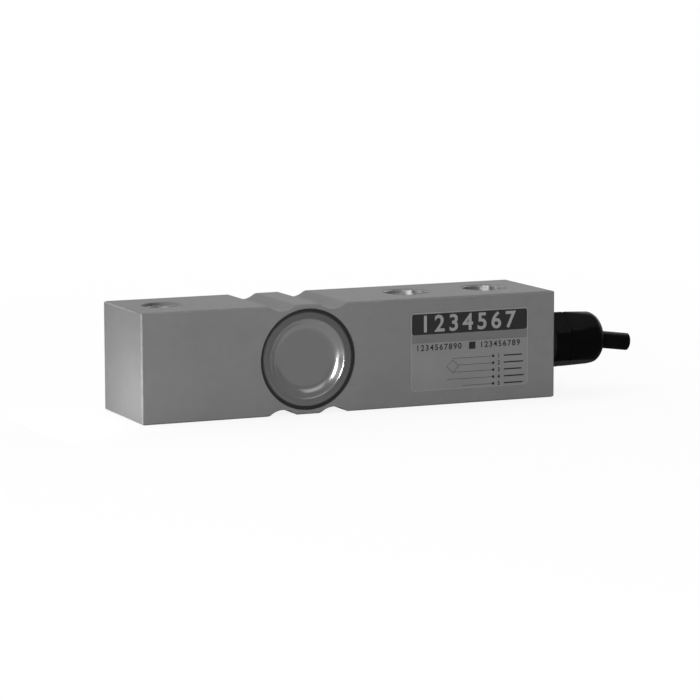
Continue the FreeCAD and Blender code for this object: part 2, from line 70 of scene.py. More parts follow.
# Places read from the frame

BEAM_LOW, BEAM_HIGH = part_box("beam_body")
COVER_LOW, COVER_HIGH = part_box("front_cover")
BEAD_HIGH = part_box("front_seal_bead")[1]
LABEL_LOW, LABEL_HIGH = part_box("label")
NUT_LOW, NUT_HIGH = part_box("gland_nut")
LOAD_HOLE = Vector(mounts["load_hole"]["pos_m"])
LOAD_HOLE_RADIUS = mounts["load_hole"]["dims"]["r_mm"] * MM
LOAD_HOLE_LENGTH = mounts["load_hole"]["dims"]["length_mm"] * MM
FIXING_RADIUS = mounts["fixing_holes"]["dims"]["hole_r_mm"] * MM
FIXING_PITCH = mounts["fixing_holes"]["dims"]["spacing_x_mm"] * MM

# Holes from top to bottom, as the place along the beam, the radius and the width of the cut edge

LOAD_HOLE_CUT = 1.0 * MM
FIXING_CUT = 0.3 * MM
BORES = (
    (LOAD_HOLE.x, LOAD_HOLE_RADIUS, LOAD_HOLE_CUT),
    (-FIXING_PITCH / 2, FIXING_RADIUS, FIXING_CUT),
    (FIXING_PITCH / 2, FIXING_RADIUS, FIXING_CUT),
)

# Where the finish of the beam changes, in millimetres: from an edge, outside a bore's wall, to each side of
# a hole's axis for the painted shade on the cut edges, and from the end face for the painted highlight
# along its edges. Where the painted shade is full is given as a share of the width of the cut edge.

RUB_REACH = (1.15, 0.35)
BORE_FADE = (0.14, 0.04)
PAINTED_SHADE_REACH = 3.0
PAINTED_SHADE_FULL = 0.7
END_HIGHLIGHT_REACH = (0.8, 0.5)

# Pressed covers, in depths below the side face of the beam

COVER_CENTRE_X = (COVER_LOW.x + COVER_HIGH.x) / 2
COVER_CENTRE_Z = (COVER_LOW.z + COVER_HIGH.z) / 2
COVER_RADIUS = (COVER_HIGH.x - COVER_LOW.x) / 2
COVER_SHEET = 0.6 * MM
SEAT_DEPTH = BEAD_HIGH.y - BEAM_LOW.y
FLANGE_DEPTH = COVER_LOW.y - BEAM_LOW.y
PLUG_DEPTH = COVER_HIGH.y - BEAM_LOW.y
PLUG_RADIUS = 11.9 * MM
LIP_RADIUS = 11.4 * MM
LIP_ROLL = 0.8 * MM
DISH_RADIUS = 9.3 * MM
DISH_DEPTH = PLUG_DEPTH - COVER_SHEET
DISH_ROLL = 4.0 * MM
EDGE_ROLL = 0.12 * MM
PLUG_ROLL = 0.4 * MM
COVER_STEPS = 128

# Gland nut, along the axis of the gland

NUT_AXIS_Y = (NUT_LOW.y + NUT_HIGH.y) / 2
NUT_AXIS_Z = (NUT_LOW.z + NUT_HIGH.z) / 2
NUT_BASE_RADIUS = 8.6 * MM
NUT_TOP_RADIUS = 8.0 * MM
NUT_SHOULDER = 4.25 * MM
NUT_MOUTH_RADIUS = 3.45 * MM
NUT_MOUTH_ROLL = 0.3 * MM
NUT_BASE_ROLL = 0.4 * MM
NUT_THREAD_RADIUS = 6.15 * MM
NUT_THREAD_LENGTH = 6.7 * MM
NUT_FLAT = 7.5 * MM
NUT_FLAT_TURN = math.radians(50)
NUT_EDGE_SOFTNESS = 0.22 * MM
NUT_STEPS = 216

# Thread of the load hole

THREAD_PITCH = 1.27 * MM
THREAD_RIDGE = 0.42 * MM
THREAD_SIDES = 3
THREAD_STEPS = 72

# Label, in millimetres along the beam and up from its bottom face

LABEL_FILM = 0.135 * MM
LABEL_INK = 0.012 * MM
LABEL_CORNER = 1.0 * MM
# Width of the painted highlight along the label's edges
LABEL_HIGHLIGHT_WIDTH = 0.3 * MM
PRINT_BACK = 0.2 * LABEL_INK
PRINT_FRONT = 1.2 * LABEL_INK
NUMBER_DEPTH = 0.4 * LABEL_INK
NUMBER_LIFT = 0.7 * LABEL_INK
NUMBER_WEIGHT = 0.02
BAND_MARGIN = 0.35
BAND_CORNER = 0.7
BAND_BOTTOM = 21.0
TINT_BOTTOM = 18.5
TITLE = "1234567"
TITLE_HEIGHT = 6.8
TITLE_LEFT = -15.6
TITLE_BOTTOM = BAND_BOTTOM + 0.8
TITLE_SPREAD = 1.35
TITLE_LIFT = 0.5 * LABEL_INK
ROWS = (("1234567890", -16.9), ("123456789", 3.7))
ROW_BOTTOM = 16.3
ROW_HEIGHT = 2.4
ROW_SPREAD = 1.25
MARK_LEFT = 0.2
MARK_BOTTOM = ROW_BOTTOM - 0.3
MARK_SIZE = 2.1
BRIDGE_X = -5.1
BRIDGE_Z = 11.2
BRIDGE_HALF = 1.9
LEAD_TOP = 13.5
LEAD_PITCH = 2.05
LEAD_STARTS = (-5.1, -3.2, -5.1, -7.0, -2.0)
LEAD_END = 8.1
LEAD_DOT = 0.42
LINE = 0.16
NUMERAL_X = 9.5
NUMERAL_HEIGHT = 1.7
NUMERAL_DROP = 0.35 * NUMERAL_HEIGHT
LEAD_BAR_START = 11.6
LEAD_BAR_ENDS = (17.6, 17.9, 17.4, 18.2, 17.8)
LEAD_BAR_HEIGHT = 0.4

# Camera

CAMERA_PLACE = (-0.39707, -0.84222, 0.14339)
CAMERA_YAW = math.radians(23.50)
CAMERA_DIP = math.radians(7.931)
CAMERA_ROLL = math.radians(-0.126)
LENS = 162.28
SENSOR = 36.0

# Floor: how much of the shadow shows and how far out, and how far round the holes the floor doesn't glow.
# The reaches and the margin are millimetres.

FLOOR_SIZE = 40.0
FLOOR_PAPER = 0.82
SHADOW_SHARE = 0.13
SHADOW_REACH = (200, 600)
HOLE_MARGIN = 1.5

# Floor as the metal reflects it: a low tone, a little more near the cover, and white in a streak in front
# of the cover and beside the free end. SHINE_STREAK and SIDE_TURN are slopes in plan, the distance to the
# left over the distance to the front. The reaches are millimetres.

SHINE_LOW = 0.075
SHINE_NEAR = 0.1
NEAR_REACH = (75, 40)
SHINE_STREAK = (0.36, 0.48, 0.7, 0.82)
STREAK_REACH = (-40, -75)
SIDE_TURN = (1.2, 1.8)

# Room as the metal reflects it: dark, and white behind the beam up to a height. ROOM_FILL is the light that
# the room gives.

SKY_RISE = (0.75, 0.35)
SKY_BACK = (0.1, 0.45)
SKY_LOW = 0.13
ROOM_FILL = 0.48

# Lamps that face the middle of the beam: name, place, width, height and power in watts

MIDDLE = Vector((-0.03, 0.0, 0.016))
LAMPS = (
    ("key_left", (-0.8, 0.2, 1.3), 0.9, 0.8, 5.5),
    ("strip_left", (-0.92, 0.0, 0.26), 0.1, 0.48, 1.4),
    ("dish_light", (-0.475, -0.735, 0.18), 0.09, 0.36, 4.4),
    ("top_soft", (0.4, 0.5, 0.68), 0.7, 0.5, 2.2),
    ("front_soft", (0.15, -0.85, 0.62), 0.6, 0.5, 0.35),
    ("rear_soft", (-0.55, 0.9, 0.45), 0.5, 0.4, 2.0),
    ("right_soft", (0.9, 0.5, 0.5), 0.5, 0.4, 2.0),
)

# A small lamp low down before the end face, which is brighter towards the floor

END_LAMP_PLACE = Vector((BEAM_LOW.x - 0.03, -0.005, 0.004))
END_LAMP_WIDTH = 0.03
END_LAMP_HEIGHT = 0.006
END_LAMP_POWER = 0.013


# Node trees, for finishes and for shapes

class Value:
    """What comes out of a node, with Python's operators for sums on numbers."""

    def __init__(self, maker, socket):
        self.maker = maker
        self.socket = socket

    def other(self, output):
        return Value(self.maker, self.socket.node.outputs[output])

    def __add__(self, other):
        return self.maker.sum("ADD", self, other)

    def __radd__(self, other):
        return self.maker.sum("ADD", other, self)

    def __sub__(self, other):
        return self.maker.sum("SUBTRACT", self, other)

    def __rsub__(self, other):
        return self.maker.sum("SUBTRACT", other, self)

    def __mul__(self, other):
        return self.maker.sum("MULTIPLY", self, other)

    def __rmul__(self, other):
        return self.maker.sum("MULTIPLY", other, self)

    def __truediv__(self, other):
        return self.maker.sum("DIVIDE", self, other)

    def __pow__(self, other):
        return self.maker.sum("POWER", self, other)

    def __lt__(self, other):
        return self.maker.sum("LESS_THAN", self, other)

    def least(self, other):
        return self.maker.sum("MINIMUM", self, other)

    def most(self, other):
        return self.maker.sum("MAXIMUM", self, other)


class Nodes:
    """A node tree that one method fills."""

    def __init__(self, tree):
        self.tree = tree
        tree.nodes.clear()

    def add(self, kind, settings=None, inputs=None, output=0):
        node = self.tree.nodes.new(kind)
        for name, setting in (settings or {}).items():
            setattr(node, name, setting)
        for name, value in (inputs or {}).items():
            if isinstance(value, Value):
                self.tree.links.new(value.socket, node.inputs[name])
            else:
                node.inputs[name].default_value = value
        return Value(self, node.outputs[output]) if node.outputs else None

    def sum(self, operation, *terms):
        return self.add("ShaderNodeMath", {"operation": operation}, dict(enumerate(terms)))

    def ease(self, value, start, end, low=0.0, high=1.0):
        """Go smoothly from low to high while value goes from start to end."""
        return self.add("ShaderNodeMapRange", {"interpolation_type": "SMOOTHSTEP"}, {
            "Value": value, "From Min": start, "From Max": end, "To Min": low, "To Max": high})


class Finish(Nodes):
    """One material, with the nodes that most finishes share."""

    def __init__(self, name):
        self.material = bpy.data.materials.new(name)
        self.material.use_nodes = True
        super().__init__(self.material.node_tree)

    def spot(self):
        """The place on the surface, in millimetres."""
        metres = self.add("ShaderNodeTexCoord", output="Object")
        return self.scaled(metres, (1000, 1000, 1000))

    def scaled(self, vector, factors):
        return self.add("ShaderNodeVectorMath", {"operation": "MULTIPLY"}, {0: vector, 1: factors})

    def noise(self, vector, scale, detail=2.0, roughness=0.5):
        return self.add("ShaderNodeTexNoise", inputs={
            "Vector": vector, "Scale": scale, "Detail": detail, "Roughness": roughness})

    def blend(self, share, first, second):
        """Mix two colours."""
        return self.add("ShaderNodeMix", {"data_type": "RGBA"}, {
            0: share, 6: colour_of(first), 7: colour_of(second)}, output=2)

    def bump(self, height, depth, under=None):
        """Turn a height from 0 to 1 into a normal, with the depth in millimetres."""
        inputs = {"Height": height, "Distance": depth * MM, "Strength": 1.0}
        if under is not None:
            inputs["Normal"] = under
        return self.add("ShaderNodeBump", inputs=inputs)

    def surface(self, sockets):
        shader = self.add("ShaderNodeBsdfPrincipled", inputs={
            name: colour_of(value) if name.endswith("Color") else value for name, value in sockets.items()})
        self.add("ShaderNodeOutputMaterial", inputs={"Surface": shader})
        return self.material


def colour_of(value):
    """Make a plain grey or a triple into a colour for a socket, and leave links alone."""
    if isinstance(value, Value):
        return value
    if isinstance(value, (int, float)):
        return (value, value, value, 1.0)
    return (*value, 1.0)


# Finishes of the beam and its covers

def edge_distance(x, y, z):
    """The distance in millimetres from a place on the beam's faces to the nearest edge."""
    sides = []
    for value, low, high in zip((x, y, z), BEAM_LOW, BEAM_HIGH):
        sides.append((value - low / MM).least(high / MM - value))
    first, second, third = sides
    return first.least(second).most(first.most(second).least(third))


def hole_distance(x, y, centre_x):
    """The distance in millimetres from the axis of an upright hole."""
    off = x - centre_x / MM
    return (off * off + y * y) ** 0.5


def plated_steel():
    """Satin nickel plate on ground steel, rubbed bright along the edges, with bored holes of bare metal.

    The cut edge of each hole has painted shade on its side towards the free end, and the edges around the
    end face have a painted highlight.
    """
    finish = Finish("plated_steel")
    spot = finish.spot()
    x = finish.add("ShaderNodeSeparateXYZ", inputs={0: spot})
    y = x.other("Y")
    z = x.other("Z")
    cloud = finish.noise(spot, 0.05, 4.0)
    patch = finish.noise(spot, 0.35, 3.0)
    speck = finish.noise(spot, 5.0, 3.0, 0.6)
    hairs = finish.noise(finish.scaled(spot, (0.06, 7.0, 7.0)), 1.0, 3.0, 0.65)
    rub = finish.ease(edge_distance(x, y, z) + 0.9 * patch, *RUB_REACH)
    bores = 0.0
    painted_cut_shade = 0.0
    start, full = BORE_FADE
    for centre, radius, cut in BORES:
        away = hole_distance(x, y, centre)
        bores = finish.ease(away, radius / MM + start, radius / MM + full).most(bores)
        # Painted shade on the cut edge of each hole, on its side towards the free end
        edge = finish.ease(away, (radius + cut) / MM, (radius + PAINTED_SHADE_FULL * cut) / MM)
        side = finish.ease(x, centre / MM + PAINTED_SHADE_REACH, centre / MM - PAINTED_SHADE_REACH)
        painted_cut_shade = (edge * side).most(painted_cut_shade)
    painted_cut_shade = painted_cut_shade * (1 - bores)
    # Painted highlight on the rubbed edges around the end face
    far, near = END_HIGHLIGHT_REACH
    corner = rub * finish.ease(x, BEAM_LOW.x / MM + far, BEAM_LOW.x / MM + near)
    turning = finish.noise(finish.scaled(spot, (0.006, 0.006, 14.0)), 1.0, 2.0)
    tone = 0.145 + 0.03 * cloud + 0.025 * patch + 0.03 * hairs - 0.015 * speck
    # The tone takes the painted shade on the cut edges and the painted highlight around the end face
    tone = tone * (1 + 1.4 * bores) * (1 - 0.65 * painted_cut_shade) + 0.04 * rub + 0.1 * corner
    colour = finish.add("ShaderNodeCombineColor", inputs={0: tone, 1: tone, 2: tone * 1.015})
    roughness = 0.52 + 0.1 * cloud + 0.06 * hairs - 0.1 * rub - 0.29 * bores
    grain = finish.bump((0.5 * speck + 0.5 * hairs) * (1 - bores), 0.016)
    grain = finish.bump(turning * bores, 0.08, grain)
    return finish.surface({
        "Base Color": colour, "Metallic": 0.35 + 0.55 * bores, "Roughness": roughness, "Normal": grain,
        "Specular IOR Level": 0.3, "Specular Tint": colour_of(0.6)})


def pressed_steel():
    """Bright pressed sheet with faint drawing rings."""
    finish = Finish("pressed_steel")
    spot = finish.spot()
    x = finish.add("ShaderNodeSeparateXYZ", inputs={0: spot})
    across = x - COVER_CENTRE_X / MM
    up = x.other("Z") - COVER_CENTRE_Z / MM
    radius = (across * across + up * up) ** 0.5
    along_radius = finish.add("ShaderNodeCombineXYZ", inputs={0: radius * 4.0, 1: 0.0, 2: 0.0})
    rings = finish.noise(along_radius, 1.0, 3.0)
    cloud = finish.noise(spot, 0.2, 3.0)
    speck = finish.noise(spot, 6.0, 2.0)
    smear = finish.ease(radius + 0.5 * cloud, LIP_RADIUS / MM + 0.2, LIP_RADIUS / MM + 0.8)
    rim = finish.ease(radius + 0.4 * cloud, COVER_RADIUS / MM - 0.3, COVER_RADIUS / MM)
    tone = (0.58 + 0.06 * cloud + 0.04 * rings - 0.04 * speck) * (1 - 0.42 * smear) * (1 - 0.7 * rim)
    colour = finish.add("ShaderNodeCombineColor", inputs={0: tone, 1: tone, 2: tone * 1.01})
    roughness = 0.14 + 0.06 * cloud + 0.04 * rings + 0.12 * smear + 0.25 * rim
    grain = finish.bump(0.4 * rings + 0.6 * speck, 0.004)
    return finish.surface({
        "Base Color": colour, "Metallic": 0.95, "Roughness": roughness, "Normal": grain})


def sealing_compound():
    """Dark cured compound, laid by hand."""
    finish = Finish("sealing_compound")
    spot = finish.spot()
    lumps = finish.noise(spot, 0.9, 3.0)
    dust = finish.noise(spot, 6.0, 2.0)
    colour = finish.blend(lumps, 0.008, 0.025)
    return finish.surface({
        "Base Color": colour, "Roughness": 0.42 + 0.25 * dust, "Normal": finish.bump(lumps, 0.16),
        "Specular IOR Level": 0.25})


# Finishes of the label

def label_film():
    """Matt silver-grey film with the slight waviness of an adhesive label, and a painted highlight along
    its edges.
    """
    finish = Finish("label_film")
    spot = finish.spot()
    x = finish.add("ShaderNodeSeparateXYZ", inputs={0: spot})
    z = x.other("Z")
    wave = finish.noise(spot, 0.12, 2.0)
    tooth = finish.noise(spot, 9.0, 2.0)
    across = (x - LABEL_LOW.x / MM).least(LABEL_HIGH.x / MM - x)
    inside = across.least(z - LABEL_LOW.z / MM).least(LABEL_HIGH.z / MM - z)
    # Painted highlight along the edges of the label
    edge = finish.ease(inside, LABEL_HIGHLIGHT_WIDTH / MM, 0.5 * LABEL_HIGHLIGHT_WIDTH / MM)
    tone = 0.16 + 0.03 * wave + 0.01 * tooth + 0.04 * edge
    colour = finish.add("ShaderNodeCombineColor", inputs={0: tone, 1: tone, 2: tone})
    return finish.surface({
        "Base Color": colour, "Metallic": 0.2, "Roughness": 0.4 + 0.1 * wave,
        "Normal": finish.bump(0.9 * wave + 0.1 * tooth, 0.03)})


def label_ink(name, tone):
    """Screen-printed ink with a little mottling."""
    finish = Finish(name)
    spot = finish.spot()
    mottle = finish.noise(spot, 2.5, 3.0)
    colour = finish.blend(mottle, 0.85 * tone, 1.15 * tone)
    return finish.surface({
        "Base Color": colour, "Roughness": 0.45 + 0.12 * mottle, "Normal": finish.bump(mottle, 0.004),
        "Specular IOR Level": 0.2})


# Finishes of the gland and the cable

def moulded_nylon():
    """Black glass-filled nylon: half gloss, with a fine moulded skin."""
    finish = Finish("moulded_nylon")
    spot = finish.spot()
    skin = finish.noise(spot, 3.5, 4.0, 0.6)
    flow = finish.noise(finish.scaled(spot, (0.15, 0.5, 0.5)), 1.0, 2.0)
    colour = finish.blend(flow, 0.001, 0.0025)
    return finish.surface({
        "Base Color": colour, "Roughness": 0.26 + 0.14 * flow + 0.06 * skin,
        "Normal": finish.bump(skin, 0.02), "Specular IOR Level": 0.06})


def moulded_rubber(name, tone, roughness):
    """Dull rubber with a dusty bloom."""
    finish = Finish(name)
    spot = finish.spot()
    bloom = finish.noise(spot, 0.8, 3.0)
    pores = finish.noise(spot, 8.0, 2.0)
    colour = finish.blend(bloom, 0.8 * tone, 1.5 * tone)
    return finish.surface({
        "Base Color": colour, "Roughness": roughness + 0.12 * bloom, "Normal": finish.bump(pores, 0.012),
        "Specular IOR Level": 0.05})


def insulation(name, colour):
    """Extruded wire insulation."""
    finish = Finish(name)
    spot = finish.spot()
    streak = finish.noise(finish.scaled(spot, (0.2, 3.0, 3.0)), 1.0, 2.0)
    darker = tuple(0.75 * part for part in colour)
    return finish.surface({
        "Base Color": finish.blend(streak, darker, colour), "Roughness": 0.32 + 0.12 * streak,
        "Normal": finish.bump(streak, 0.006)})


def bright_metal(name, colour, roughness, lumps):
    """A small metal piece, such as foil, solder or wire, with lumps of a depth in millimetres."""
    finish = Finish(name)
    spot = finish.spot()
    tarnish = finish.noise(spot, 1.5, 4.0)
    grain = finish.noise(spot, 7.0, 2.0)
    darker = tuple(0.7 * part for part in colour)
    return finish.surface({
        "Base Color": finish.blend(tarnish, darker, colour), "Metallic": 1.0,
        "Roughness": roughness + 0.15 * tarnish, "Normal": finish.bump(grain, lumps)})


def gauge_film():
    """Amber polyimide film."""
    finish = Finish("gauge_film")
    spot = finish.spot()
    glue = finish.noise(spot, 0.7, 3.0)
    return finish.surface({
        "Base Color": finish.blend(glue, (0.42, 0.2, 0.04), (0.62, 0.34, 0.08)),
        "Roughness": 0.22 + 0.15 * glue, "Normal": finish.bump(glue, 0.02)})


def circuit_laminate():
    """Green laminate with its glass weave showing faintly."""
    finish = Finish("circuit_laminate")
    spot = finish.spot()
    x = finish.add("ShaderNodeSeparateXYZ", inputs={0: spot})
    warp = finish.sum("SINE", x * 12.0)
    weft = finish.sum("SINE", x.other("Z") * 12.0)
    weave = 0.5 + 0.25 * (warp + weft)
    return finish.surface({
        "Base Color": finish.blend(weave, (0.02, 0.12, 0.05), (0.03, 0.18, 0.08)),
        "Roughness": 0.35 + 0.1 * weave, "Normal": finish.bump(weave, 0.008)})


def chip_black():
    """Black glazed chip resistors."""
    finish = Finish("chip_black")
    spot = finish.spot()
    glaze = finish.noise(spot, 3.0, 2.0)
    return finish.surface({
        "Base Color": finish.blend(glaze, 0.01, 0.025), "Roughness": 0.25 + 0.2 * glaze,
        "Normal": finish.bump(glaze, 0.01)})


FINISHES = {
    "alloy_steel": plated_steel(),
    "cover_steel": pressed_steel(),
    "sealant": sealing_compound(),
    "label_film": label_film(),
    "gauge_film": gauge_film(),
    "gauge_foil": bright_metal("gauge_foil", (0.62, 0.55, 0.46), 0.25, 0.002),
    "board": circuit_laminate(),
    "solder": bright_metal("solder", (0.7, 0.7, 0.68), 0.25, 0.02),
    "chip": chip_black(),
    "gland_nylon": moulded_nylon(),
    "gland_rubber": moulded_rubber("gland_rubber", 0.008, 0.5),
    "jacket": moulded_rubber("cable_jacket_skin", 0.002, 0.38),
    "shield": bright_metal("tinned_braid", (0.7, 0.7, 0.7), 0.3, 0.03),
    "red": insulation("insulation_red", (0.5, 0.03, 0.03)),
    "black": insulation("insulation_black", (0.02, 0.02, 0.02)),
    "green": insulation("insulation_green", (0.03, 0.3, 0.08)),
    "white": insulation("insulation_white", (0.8, 0.8, 0.78)),
    "tinned_copper": bright_metal("tinned_copper", (0.72, 0.55, 0.42), 0.28, 0.004),
}


def dress_nodes():
    """Give every node of the frame the finish of its slot."""
    for part in frame["record"]["subparts"]:
        materials = nodes[part["node"]].data.materials
        materials.clear()
        materials.append(FINISHES[part["material_slot"]])


# Shapes

def finish_piece(name, mesh, slot, finish=None, replaces=()):
    """Make a mesh a piece of the object, with its finish and the nodes that it stands for."""
    mesh.name = name
    mesh.materials.clear()
    mesh.materials.append(finish or FINISHES[slot])
    piece = bpy.data.objects.new(name, mesh)
    bpy.context.scene.collection.objects.link(piece)
    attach(piece, "root")
    if replaces:
        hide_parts(*replaces)
    return piece


def shade_by_angle(mesh, degrees):
    mesh.shade_smooth()
    mesh.set_sharp_from_angle(angle=math.radians(degrees))


def mesh_from(form):
    """Close a form, point its faces outwards and return it as a mesh."""
    bmesh.ops.remove_doubles(form, verts=form.verts, dist=1e-8)
    bmesh.ops.recalc_face_normals(form, faces=form.faces)
    mesh = bpy.data.meshes.new("form")
    form.to_mesh(mesh)
    form.free()
    return mesh


def arc(centre, radius, start, end, steps):
    """Points of an arc, with its angles in degrees."""
    turns = [math.radians(start + (end - start) * k / steps) for k in range(steps + 1)]
    return [(centre[0] + radius * math.cos(turn), centre[1] + radius * math.sin(turn)) for turn in turns]


def rolled(corner, before, after, radius, steps=6):
    """Round one corner of an outline off, as points from the first tangent to the second."""
    here = Vector(corner)
    to_before = (Vector(before) - here).normalized()
    to_after = (Vector(after) - here).normalized()
    half = to_before.angle(to_after) / 2
    reach = radius / math.tan(half)
    middle = here + (to_before + to_after).normalized() * (radius / math.sin(half))
    first = here + to_before * reach - middle
    last = here + to_after * reach - middle
    sweep = first.angle_signed(last)
    points = []
    for k in range(steps + 1):
        spoke = Matrix.Rotation(-sweep * k / steps, 2) @ first
        points.append(tuple(middle + spoke))
    return points


def rolled_outline(corners):
    """Round off each corner of an open outline that has a radius: corners are (x, y, radius)."""
    points = []
    for k, (x, y, radius) in enumerate(corners):
        if radius and 0 < k < len(corners) - 1:
            points += rolled((x, y), corners[k - 1][:2], corners[k + 1][:2], radius)
        else:
            points.append((x, y))
    return points


def turned(profile, place, steps, closed=False):
    """Turn a profile of radii and heights. place(radius, height, angle) says where each point goes."""
    form = bmesh.new()
    rings = []
    for radius, height in profile:
        count = steps if radius > 1e-7 else 1
        rings.append([form.verts.new(place(radius, height, 2 * math.pi * k / steps)) for k in range(count)])
    pairs = list(zip(rings, rings[1:]))
    if closed:
        pairs.append((rings[-1], rings[0]))
    for near, far in pairs:
        for k in range(steps):
            corners = [near[k % len(near)], near[(k + 1) % len(near)]]
            corners += [far[(k + 1) % len(far)], far[k % len(far)]]
            form.faces.new(list(dict.fromkeys(corners)))
    return mesh_from(form)


# Covers

def cover_profile():
    """The section of a cover as radius and depth: dish, lip, flange, foot and underside."""
    return rolled_outline([
        (0, DISH_DEPTH, 0),
        (DISH_RADIUS, DISH_DEPTH, DISH_ROLL),
        (LIP_RADIUS, FLANGE_DEPTH, LIP_ROLL),
        (COVER_RADIUS, FLANGE_DEPTH, EDGE_ROLL),
        (COVER_RADIUS, SEAT_DEPTH, 0),
        (PLUG_RADIUS, SEAT_DEPTH, 0),
        (PLUG_RADIUS, PLUG_DEPTH, PLUG_ROLL),
        (0, PLUG_DEPTH, 0),
    ])


def make_cover(side, face_y, inward):
    """A cover in the pocket of one side. inward is the way into the beam along Y."""
    def place(radius, depth, angle):
        return (COVER_CENTRE_X + radius * math.cos(angle), face_y + inward * depth,
                COVER_CENTRE_Z + radius * math.sin(angle))
    mesh = turned(cover_profile(), place, COVER_STEPS)
    shade_by_angle(mesh, 40)
    finish_piece(f"{side}_pressed_cover", mesh, "cover_steel", replaces=[f"{side}_cover"])


# Gland nut

def soft_least(first, second, softness):
    """The lesser of two lengths, with the crease between them rounded."""
    share = max(0.0, softness - abs(first - second)) / softness
    return min(first, second) - share * share * softness / 4


def nut_profile():
    """The section of the nut as radius and height above its base, once round: outside, mouth and thread."""
    length = NUT_HIGH.x - NUT_LOW.x
    start = length - NUT_SHOULDER
    rim = NUT_MOUTH_RADIUS + NUT_MOUTH_ROLL
    side_steps = 14
    outside = arc((NUT_BASE_RADIUS - NUT_BASE_ROLL, NUT_BASE_ROLL), NUT_BASE_ROLL, -90, 0, 5)
    for k in range(1, side_steps):
        share = k / side_steps
        outside.append((NUT_BASE_RADIUS + share * (NUT_TOP_RADIUS - NUT_BASE_RADIUS),
                        NUT_BASE_ROLL + share * (start - NUT_BASE_ROLL)))
    dome = arc((NUT_TOP_RADIUS - NUT_SHOULDER, start), NUT_SHOULDER, 0, 90, 20)
    mouth = arc((rim, length - NUT_MOUTH_ROLL), NUT_MOUTH_ROLL, 90, 180, 5)
    inside = [(NUT_MOUTH_RADIUS, NUT_THREAD_LENGTH),
              (NUT_THREAD_RADIUS, NUT_THREAD_LENGTH),
              (NUT_THREAD_RADIUS, 0)]
    return outside + dome + mouth + inside


def make_nut():
    """The nut of the gland, a domed round with six soft flats."""
    def place(radius, height, angle):
        from_flat = (angle - NUT_FLAT_TURN + math.pi / 6) % (math.pi / 3) - math.pi / 6
        reach = radius
        if radius > NUT_THREAD_RADIUS:
            reach = soft_least(radius, NUT_FLAT / math.cos(from_flat), NUT_EDGE_SOFTNESS)
        return (NUT_LOW.x + height, NUT_AXIS_Y - reach * math.cos(angle),
                NUT_AXIS_Z + reach * math.sin(angle))
    mesh = turned(nut_profile(), place, NUT_STEPS, closed=True)
    shade_by_angle(mesh, 50)
    finish_piece("moulded_nut", mesh, "gland_nylon", replaces=["gland_nut"])


# Label

def add_plate(form, outline, front, back):
    """Add a thin plate whose outline is points along the beam and up it."""
    fore = [form.verts.new((x, front, z)) for x, z in outline]
    aft = [form.verts.new((x, back, z)) for x, z in outline]
    form.faces.new(fore)
    form.faces.new(aft[::-1])
    for k in range(len(outline)):
        after = (k + 1) % len(outline)
        form.faces.new([fore[k], aft[k], aft[after], fore[after]])


def box_outline(left, bottom, right, top):
    return [(left, bottom), (right, bottom), (right, top), (left, top)]


def disc_outline(x, z, radius, steps=24):
    return arc((x, z), radius, 0, 360 - 360 / steps, steps - 1)


def line_outline(start, end, width):
    """A straight line of a width, as an outline."""
    first = Vector(start)
    last = Vector(end)
    side = (last - first).orthogonal().normalized() * width / 2
    return [tuple(first + side), tuple(first - side), tuple(last - side), tuple(last + side)]


def rounded_outline(left, bottom, right, top, radius):
    corners = ((right, bottom, -90), (right, top, 0), (left, top, 90), (left, bottom, 180))
    outline = []
    for x, z, start in corners:
        centre = (x - math.copysign(radius, x - left - radius),
                  z - math.copysign(radius, z - bottom - radius))
        outline += arc(centre, radius, start, start + 90, 6)
    return outline


def print_mesh(outlines):
    """Lay printed shapes, given in millimetres, on the face of the label film."""
    form = bmesh.new()
    for outline in outlines:
        add_plate(form, [(x * MM, z * MM) for x, z in outline],
                  LABEL_LOW.y + PRINT_BACK, LABEL_LOW.y + PRINT_FRONT)
    return mesh_from(form)


def lead_height(k):
    return LEAD_TOP - k * LEAD_PITCH


def bridge_outlines():
    """A four-armed bridge and the lines of the leads that come from it."""
    corners = [(BRIDGE_X + BRIDGE_HALF * math.cos(turn), BRIDGE_Z + BRIDGE_HALF * math.sin(turn))
               for turn in (math.pi / 2 * k for k in range(4))]
    outlines = [line_outline(corners[k], corners[(k + 1) % 4], LINE) for k in range(4)]
    for k, start in enumerate(LEAD_STARTS):
        outlines.append(line_outline((start, lead_height(k)), (LEAD_END, lead_height(k)), LINE))
    return outlines


def lead_outlines():
    """The dots at the ends of the leads and the bars beside them."""
    outlines = []
    for k, end in enumerate(LEAD_BAR_ENDS):
        low = lead_height(k) - LEAD_BAR_HEIGHT / 2
        outlines.append(disc_outline(LEAD_END, lead_height(k), LEAD_DOT))
        outlines.append(box_outline(LEAD_BAR_START, low, end, low + LEAD_BAR_HEIGHT))
    return outlines


def number_mesh(rows, lift):
    """Plain numbers as flat shapes: rows are (digits, height, left edge, bottom, spread) in millimetres."""
    form = bmesh.new()
    for digits, height, left, bottom, spread in rows:
        text = bpy.data.curves.new("numbers", "FONT")
        text.body = digits
        text.size = height * MM
        text.space_character = spread
        text.offset = NUMBER_WEIGHT * height * MM
        text.extrude = NUMBER_DEPTH
        holder = bpy.data.objects.new("numbers", text)
        bpy.context.scene.collection.objects.link(holder)
        depsgraph = bpy.context.evaluated_depsgraph_get()
        mesh = bpy.data.meshes.new_from_object(holder.evaluated_get(depsgraph))
        place = Matrix.Translation((left * MM, LABEL_LOW.y + lift, bottom * MM))
        mesh.transform(place @ Matrix.Rotation(math.pi / 2, 4, "X"))
        form.from_mesh(mesh)
        bpy.data.objects.remove(holder)
        bpy.data.meshes.remove(mesh)
    return mesh_from(form)


